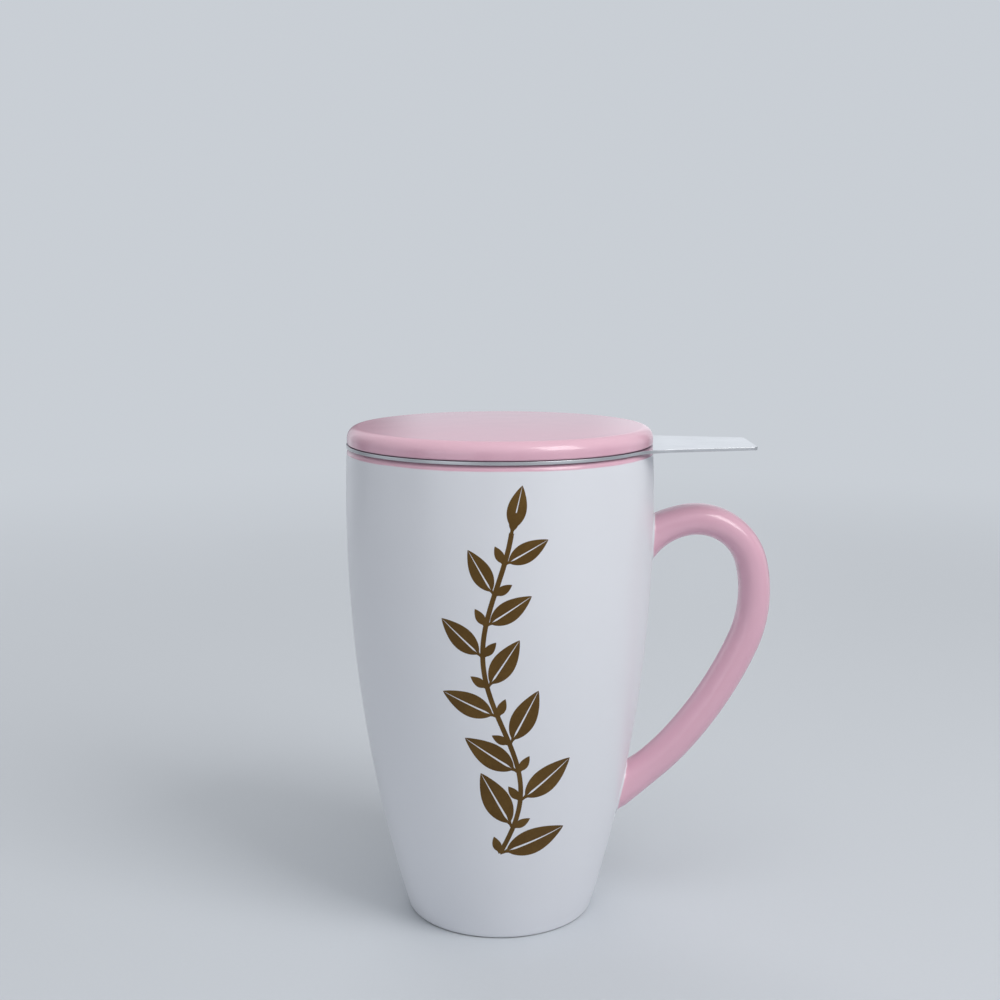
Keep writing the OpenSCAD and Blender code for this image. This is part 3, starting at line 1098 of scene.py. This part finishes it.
def makeStrainer():
    top = neckZ - holes["topPlain"]
    foot = ringHigh.z - holes["footPlain"]
    tree = strainerTree()
    columns = holes["columns"] // holes["panels"]
    for i in range(holes["panels"]):
        piece = grow(f"strainerPanel{i + 1}", holeTile(), tree, {
            "Columns": columns, "Rows": holes["rows"], "Columns Around": holes["columns"],
            "First Column": i * columns, "Foot Radius": strainerRadius(foot),
            "Top Radius": strainerRadius(top), "Foot Height": foot, "Top Height": top,
            "Sheet": fits["sheet"], "Material": basketSteel})
        closeRim(piece)
        place(piece, "infuser", "strainer_sleeve")
    bands = {"strainerTopBand": (top, sleeveHigh.z), "strainerFootBand": (sleeveLow.z, foot)}
    for name, (low, high) in bands.items():
        corners = [
            (strainerRadius(high), high, 0),
            (strainerRadius(low), low, 0),
            (strainerRadius(low) - fits["sheet"], low, 0),
            (strainerRadius(high) - fits["sheet"], high, 0),
        ]
        band = turned(name, roundedOutline(corners), holes["columns"], basketSteel, closed=True)
        place(band, "infuser", "strainer_sleeve")


makeStrainer()


def discTree():
    tree, given = newTree("discHoles", {
        "Count": "Int", "Pitch": "Float", "Field Radius": "Float", "Height": "Float",
        "Sheet": "Float", "Material": "Material"})
    spot = position(tree)
    pitch = given["Pitch"]
    fromMiddle = times(tree, vecCalc(tree, "LENGTH", spot), pitch)
    kept = calc(tree, "LESS_THAN", fromMiddle, given["Field Radius"])
    sheet = tileField(tree, given["Geometry"], given["Count"], given["Count"], kept)
    x, y, depth = splitXyz(tree, spot)
    height = calc(tree, "MULTIPLY_ADD", depth, given["Sheet"], given["Height"])
    laid = moved(tree, sheet, joinXyz(tree, times(tree, x, pitch), times(tree, y, pitch), height))
    return endTree(tree, laid, given)


def makeDisc():
    field = discR - holes["discPlain"]
    pitch = holes["discPitch"]
    piece = grow("baseDisc", holeTile(), discTree(), {
        "Count": 2 * ceil(field / pitch) + 1, "Pitch": pitch,
        "Field Radius": field - holes["discSpare"] * pitch, "Height": discLow.z,
        "Sheet": discHigh.z - discLow.z, "Material": discSteel})
    shell = openShell(piece)
    border = borderEdges(shell)
    rims = []
    for z in (discLow.z, discHigh.z):
        rim = [shell.verts.new((*point, z)) for point in circlePoints(discR, holes["discStep"])]
        rims.append(rim)
        for i in range(len(rim)):
            shell.edges.new((rim[i], rim[(i + 1) % len(rim)]))
        level = [edge for edge in border if abs(edge.verts[0].co.z - z) < holes["sameLevel"]]
        bmesh.ops.triangle_fill(shell, use_beauty=True, edges=level + ringEdges(shell, rim))
    low, high = rims
    for i in range(len(low)):
        j = (i + 1) % len(low)
        shell.faces.new((low[i], low[j], high[j], high[i]))
    saveShell(shell, piece.data, crisp=True)
    place(piece, "infuser", "base_disc")


makeDisc()


# Print on the front: one climbing sprig of tea, laid on the glaze

sprig = {
    "low": 28 * mm,
    "high": 117 * mm,
    "sway": 6 * mm,
    "swayFade": 0.4,            # how much of the sway is lost by the top
    "waves": 1.15,
    "stemSteps": 120,
    "stemWide": 1.3 * mm,
    "inkThick": 0.06 * mm,
    "inkLift": -0.018 * mm,     # the middle of the ink against the glaze
    "leaves": 12,
    "leafLong": 19 * mm,
    "leafWide": 7.6 * mm,
    "leafRows": 26,
    "leafLevel": 0.48,          # half the leaf's thickness, as a share of the ink's
    "leafTurn": 46,             # degrees
    "vein": 0.75 * mm,
    "budLong": 5.4 * mm,
    "budWide": 2.4 * mm,
    "budRows": 12,
    "budLevel": 0.52,           # not the leaf's nor the stem's 0.5, so that no crossing faces coincide
    "budTurn": -0.9,            # as a share of the leaf's turn
    "tipScale": 0.62,
}
leafShape = {
    "columns": 4,
    "stalk": 0.1,               # share of the leaf's length, as the next two
    "veinStart": 0.14,
    "veinOpening": 0.08,
    "veinTaper": 0.6,           # a power that shapes the vein, and the next two the outline
    "widestEarly": 0.8,
    "fullness": 0.85,
    "stalkHalf": 0.45 * mm,
    "overlap": 0.02 * mm,       # how far each half reaches past the middle where there is no vein
    "leastHalf": 0.03 * mm,
}


def leafEdges(t, width, vein):
    # Half the vein's gap and half the leaf's width, at the share t of its length
    blade = max(0.0, (t - leafShape["stalk"]) / (1 - leafShape["stalk"]))
    swell = 0.0
    if 0 < blade < 1:
        swell = width / 2 * sin(pi * blade ** leafShape["widestEarly"]) ** leafShape["fullness"]
    stalk = leafShape["stalkHalf"] * (1 - t)
    opening = max(0.0, min(1.0, (t - leafShape["veinStart"]) / leafShape["veinOpening"]))
    gapHalf = vein / 2 * opening * (1 - t) ** leafShape["veinTaper"] - leafShape["overlap"]
    return gapHalf, max(swell, stalk, gapHalf + leafShape["leastHalf"])


def leafMesh(name, length, width, rows, vein, halfLevel):
    # Two halves either side of a bare vein, closed above and below, along +Y from a narrow stalk
    points, faces = [], []
    columns = leafShape["columns"]
    for half in (-1, 1):
        for level in (-halfLevel, halfLevel):
            start = len(points)
            for i in range(rows + 1):
                gapHalf, outer = leafEdges(i / rows, width, vein)
                for k in range(columns + 1):
                    across = gapHalf + (outer - gapHalf) * k / columns
                    points.append((half * across, length * (i / rows), level))
            for i in range(rows):
                for k in range(columns):
                    a = start + i * (columns + 1) + k
                    faces.append((a, a + 1, a + columns + 2, a + columns + 1))
    shell = bmesh.new()
    spots = [shell.verts.new(point) for point in points]
    for face in faces:
        shell.faces.new([spots[k] for k in face])
    sheets = len(points) // 4
    rim = [k * (columns + 1) for k in range(rows + 1)]
    rim += [rows * (columns + 1) + k for k in range(1, columns + 1)]
    rim += [k * (columns + 1) + columns for k in range(rows - 1, -1, -1)]
    rim += [k for k in range(columns - 1, 0, -1)]
    for pair in (0, 2):
        low, high = pair * sheets, (pair + 1) * sheets
        for a, b in zip(rim, rim[1:] + rim[:1]):
            shell.faces.new((spots[low + a], spots[low + b], spots[high + b], spots[high + a]))
    made = bpy.data.meshes.new(name)
    saveShell(shell, made)
    return addObject(name, made)


def sprigTree():
    tree, given = newTree("teaSprig", {
        "Stem": "Object", "Leaf": "Object", "Bud": "Object", "Leaves": "Int", "Leaf Turn": "Float",
        "Bud Turn": "Float", "Tip Scale": "Float", "Stem Width": "Float", "Ink Thickness": "Float",
        "Ink Lift": "Float", "Material": "Material"})
    stem = shapeOf(tree, given["Stem"])
    band = nodeOut(tree, "GeometryNodeCurvePrimitiveQuadrilateral", {
        "Width": given["Stem Width"], "Height": 1.0})
    ribbon = nodeOut(tree, "GeometryNodeCurveToMesh", {
        "Curve": stem, "Profile Curve": band, "Scale": 1.0, "Fill Caps": True})
    spots = nodeOut(tree, "GeometryNodeResampleCurve", {"Curve": stem, "Count": given["Leaves"]})
    index = nodeOut(tree, "GeometryNodeInputIndex")
    tx, ty, _ = splitXyz(tree, nodeOut(tree, "GeometryNodeInputTangent"))
    heading = minus(tree, calc(tree, "ARCTAN2", ty, tx), pi / 2)
    # Leaves lean to the left and right in turn, and the last one stands straight
    side = minus(tree, times(tree, calc(tree, "MODULO", index, 2.0), 2.0), 1.0)
    last = calc(tree, "LESS_THAN", index, minus(tree, given["Leaves"], 1.5))
    lean = times(tree, times(tree, side, given["Leaf Turn"]), last)
    share = over(tree, index, given["Leaves"])
    size = calc(tree, "MULTIPLY_ADD", share, minus(tree, given["Tip Scale"], 1.0), 1.0)

    def laid(shape, turn, scale):
        return nodeOut(tree, "GeometryNodeInstanceOnPoints", {
            "Points": spots, "Instance": shapeOf(tree, given[shape]),
            "Rotation": joinXyz(tree, 0.0, 0.0, plus(tree, heading, turn)),
            "Scale": joinXyz(tree, scale, scale, 1.0)})

    joined = tree.nodes.new("GeometryNodeJoinGeometry")
    for part in (ribbon, laid("Leaf", lean, size),
                 laid("Bud", times(tree, lean, given["Bud Turn"]), 1.0)):
        tree.links.new(part, joined.inputs[0])
    real = nodeOut(tree, "GeometryNodeRealizeInstances", {"Geometry": joined.outputs[0]})

    # From flat drawing to the curved wall, facing -Y
    u, v, level = splitXyz(tree, position(tree))
    wallR = sideRadiusNodes(tree, v)
    angle = over(tree, u, wallR)
    lift = calc(tree, "MULTIPLY_ADD", level, given["Ink Thickness"], given["Ink Lift"])
    radius = plus(tree, wallR, lift)
    across = times(tree, radius, calc(tree, "SINE", angle))
    towards = times(tree, radius, times(tree, calc(tree, "COSINE", angle), -1.0))
    return endTree(tree, moved(tree, real, joinXyz(tree, across, towards, v)), given)


def makePrint():
    points = []
    for i in range(sprig["stemSteps"] + 1):
        t = i / sprig["stemSteps"]
        sway = sprig["sway"] * sin(2 * pi * sprig["waves"] * t) * (1 - sprig["swayFade"] * t)
        points.append((sway, sprig["low"] + (sprig["high"] - sprig["low"]) * t, 0.0))
    stem = lineObject("sprigStem", points, [1.0] * len(points))
    leaf = leafMesh("sprigLeaf", sprig["leafLong"], sprig["leafWide"], sprig["leafRows"],
                    sprig["vein"], sprig["leafLevel"])
    bud = leafMesh("sprigBud", sprig["budLong"], sprig["budWide"], sprig["budRows"],
                   0.0, sprig["budLevel"])
    piece = grow("teaSprig", bpy.data.meshes.new("teaSprig"), sprigTree(), {
        "Stem": stem, "Leaf": leaf, "Bud": bud, "Leaves": sprig["leaves"],
        "Leaf Turn": radians(sprig["leafTurn"]), "Bud Turn": sprig["budTurn"],
        "Tip Scale": sprig["tipScale"], "Stem Width": sprig["stemWide"],
        "Ink Thickness": sprig["inkThick"], "Ink Lift": sprig["inkLift"], "Material": inkMaterial})
    removeHelpers(stem, leaf, bud)
    faceOutwards(piece)
    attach(piece, "mug")
    tell(piece)


makePrint()


# Studio: a pale floor and backdrop, lamps, and upright cards that only reflections show

studio = {
    "backdrop": (0.585, 0.62, 0.665, 1),
    "floorPale": (0.60, 0.635, 0.68, 1),
    "floorGrain": 900.0,
    "floorRadius": 3.0,
    "floorSides": 96,
    "floorGap": 0.01 * mm,                    # how far the floor lies below the foot
    "fadeStart": 0.30,
    "fadeEnd": 0.95,
    "skyLow": (0.55, 0.575, 0.62, 1),
    "skyHigh": (1.15, 1.15, 1.15, 1),
    "skyBand": (-0.1, 0.7),
    "skyStrength": 0.42,
}
cards = {
    "flag": (0.11, 0.12, 0.14, 1),
    "panel": (0.88, 0.92, 0.98, 1),
    "away": 0.62,
    "low": 0.004,
    "high": 0.46,
    "steps": 12,
    "softSide": 0.3,                          # shares of the half width and of the height, from
    "softTop": 0.6,                           # which the card fades to its sides and its top
    "layout": [                               # where each stands and how wide it is, in degrees
        ("flag", -76, 12), ("flag", -101, 20), ("panel", -126, 10), ("flag", -150, 22),
        ("panel", -174, 10), ("flag", 152, 26), ("panel", 124, 12), ("flag", 103, 16),
        ("panel", 76, 16), ("flag", 48, 20), ("panel", 20, 12), ("flag", -8, 16),
        ("panel", -44, 20)],
}
lamps = {
    "keyPanel": {"power": 8.0, "size": (0.6, 0.8), "spot": (0.75, -0.62, 0.95),
                 "colour": (1.0, 0.985, 0.97), "mirrored": True},
    "fillPanel": {"power": 0.7, "size": (0.8, 0.5), "spot": (-0.62, -0.85, 0.13),
                  "colour": (0.93, 0.96, 1.0), "mirrored": True},
    "rimPanel": {"power": 2.4, "size": (0.8, 0.4), "spot": (-0.25, 0.95, 0.75),
                 "colour": (1.0, 1.0, 1.0), "mirrored": False},
    "topPanel": {"power": 1.6, "size": (0.7, 0.5), "spot": (0.1, -0.35, 1.0),
                 "colour": (1.0, 1.0, 1.0), "mirrored": False},
}
lampTarget = Vector((0, 0, 0.09))
view = {"lens": 50, "sensor": 36, "nearest": 0.01, "away": 386.44 * mm, "high": 180.61 * mm,
        "down": 9.12}


def makeLamps():
    for name, lamp in lamps.items():
        light = bpy.data.lights.new(name, "AREA")
        light.energy = lamp["power"]
        light.shape = "RECTANGLE"
        light.size, light.size_y = lamp["size"]
        light.color = lamp["colour"]
        made = addObject(name, light)
        made.location = lamp["spot"]
        towards = lampTarget - Vector(lamp["spot"])
        made.rotation_euler = towards.to_track_quat("-Z", "Y").to_euler()
        made.visible_camera = False
        made.visible_glossy = lamp["mirrored"]


def seenDirectly(tree):
    # 1 for what the camera, a reflection or a see-through piece shows
    ray = tree.nodes.new("ShaderNodeLightPath").outputs
    straight = calc(tree, "MAXIMUM", ray["Is Camera Ray"], ray["Is Glossy Ray"])
    return calc(tree, "MAXIMUM", straight, ray["Is Transmission Ray"])


def glow(tree, colour):
    return nodeOut(tree, "ShaderNodeEmission", {"Color": colour, "Strength": 1.0})


def mixShaders(tree, share, a, b):
    return nodeOut(tree, "ShaderNodeMixShader", {0: share, 1: a, 2: b})


def makeFloor():
    shell = bmesh.new()
    bmesh.ops.create_circle(shell, cap_ends=True, segments=studio["floorSides"],
                            radius=studio["floorRadius"])
    floorMesh = bpy.data.meshes.new("floor")
    shell.to_mesh(floorMesh)
    shell.free()
    material, tree, shader, spot = newMaterial("floorPaper")
    shader.inputs["Roughness"].default_value = 0.75
    shader.inputs["Specular IOR Level"].default_value = 0.2
    grain = noise(tree, spot, studio["floorGrain"], 3.0)
    tone = blendColours(tree, grain, studio["backdrop"], studio["floorPale"])
    feed(tree, shader.inputs["Base Color"], tone)
    # Far from the object the floor takes the backdrop's colour, so that no line shows between them
    x, y, _ = splitXyz(tree, spot)
    fade = stretch(tree, fromAxis(tree, x, y), studio["fadeStart"], studio["fadeEnd"])
    mixed = mixShaders(tree, times(tree, fade, seenDirectly(tree)), shader.outputs[0],
                       glow(tree, studio["backdrop"]))
    output = next(node for node in tree.nodes if node.bl_idname == "ShaderNodeOutputMaterial")
    tree.links.new(mixed, output.inputs["Surface"])
    floorMesh.materials.append(material)
    floor = addObject("floor", floorMesh)
    floor.location.z = bodyLow.z - studio["floorGap"]


def makeWorld():
    world = bpy.data.worlds.new("studio")
    scene.world = world
    tree = clearNodes(world)
    _, _, z = splitXyz(tree, nodeOut(tree, "ShaderNodeTexCoord", output="Generated"))
    # Soft sky for the light, brighter overhead
    sky = blendColours(tree, stretch(tree, z, *studio["skyBand"]), studio["skyLow"], studio["skyHigh"])
    skyLight, backdrop = [
        nodeOut(tree, "ShaderNodeBackground", {"Color": colour, "Strength": strength})
        for colour, strength in ((sky, studio["skyStrength"]), (studio["backdrop"], 1.0))]
    mixed = mixShaders(tree, seenDirectly(tree), skyLight, backdrop)
    addNode(tree, "ShaderNodeOutputWorld", {"Surface": mixed})


def cardPaper(name, colour):
    material = bpy.data.materials.new(name)
    tree = clearNodes(material)
    across = nodeOut(tree, "ShaderNodeAttribute", output="Fac", attribute_name="across")
    _, _, z = splitXyz(tree, ownSpot(tree))
    solid = times(tree, stretch(tree, calc(tree, "ABSOLUTE", across), 1.0, cards["softSide"]),
                  stretch(tree, z, cards["high"], cards["high"] * cards["softTop"]))
    clear = nodeOut(tree, "ShaderNodeBsdfTransparent")
    mixed = mixShaders(tree, solid, clear, glow(tree, colour))
    addNode(tree, "ShaderNodeOutputMaterial", {"Surface": mixed})
    return material


def makeCards():
    for number, (shade, turn, wide) in enumerate(cards["layout"]):
        points, across = [], []
        for step in range(cards["steps"] + 1):
            share = 2 * step / cards["steps"] - 1
            angle = radians(turn + share * wide / 2)
            for level in (cards["low"], cards["high"]):
                points.append((cos(angle) * cards["away"], sin(angle) * cards["away"], level))
                across.append(share)
        faces = [(2 * step, 2 * step + 2, 2 * step + 3, 2 * step + 1) for step in range(cards["steps"])]
        name = f"{shade}Card{number}"
        cardMesh = bpy.data.meshes.new(name)
        cardMesh.from_pydata(points, [], faces)
        cardMesh.attributes.new("across", "FLOAT", "POINT").data.foreach_set("value", across)
        cardMesh.materials.append(cardPaper(name, cards[shade]))
        card = addObject(name, cardMesh)
        card.visible_camera = False
        card.visible_diffuse = False
        card.visible_shadow = False
        card.visible_transmission = False


def makeCamera():
    camera = bpy.data.cameras.new("camera")
    camera.lens = view["lens"]
    camera.sensor_width = view["sensor"]
    camera.clip_start = view["nearest"]
    eye = addObject("camera", camera)
    eye.location = (0, -view["away"], view["high"])
    eye.rotation_euler = (radians(90 - view["down"]), 0, 0)
    scene.camera = eye


makeFloor()
makeWorld()
makeCards()
makeLamps()
makeCamera()
print("studio ready")

bpy.context.view_layer.update()
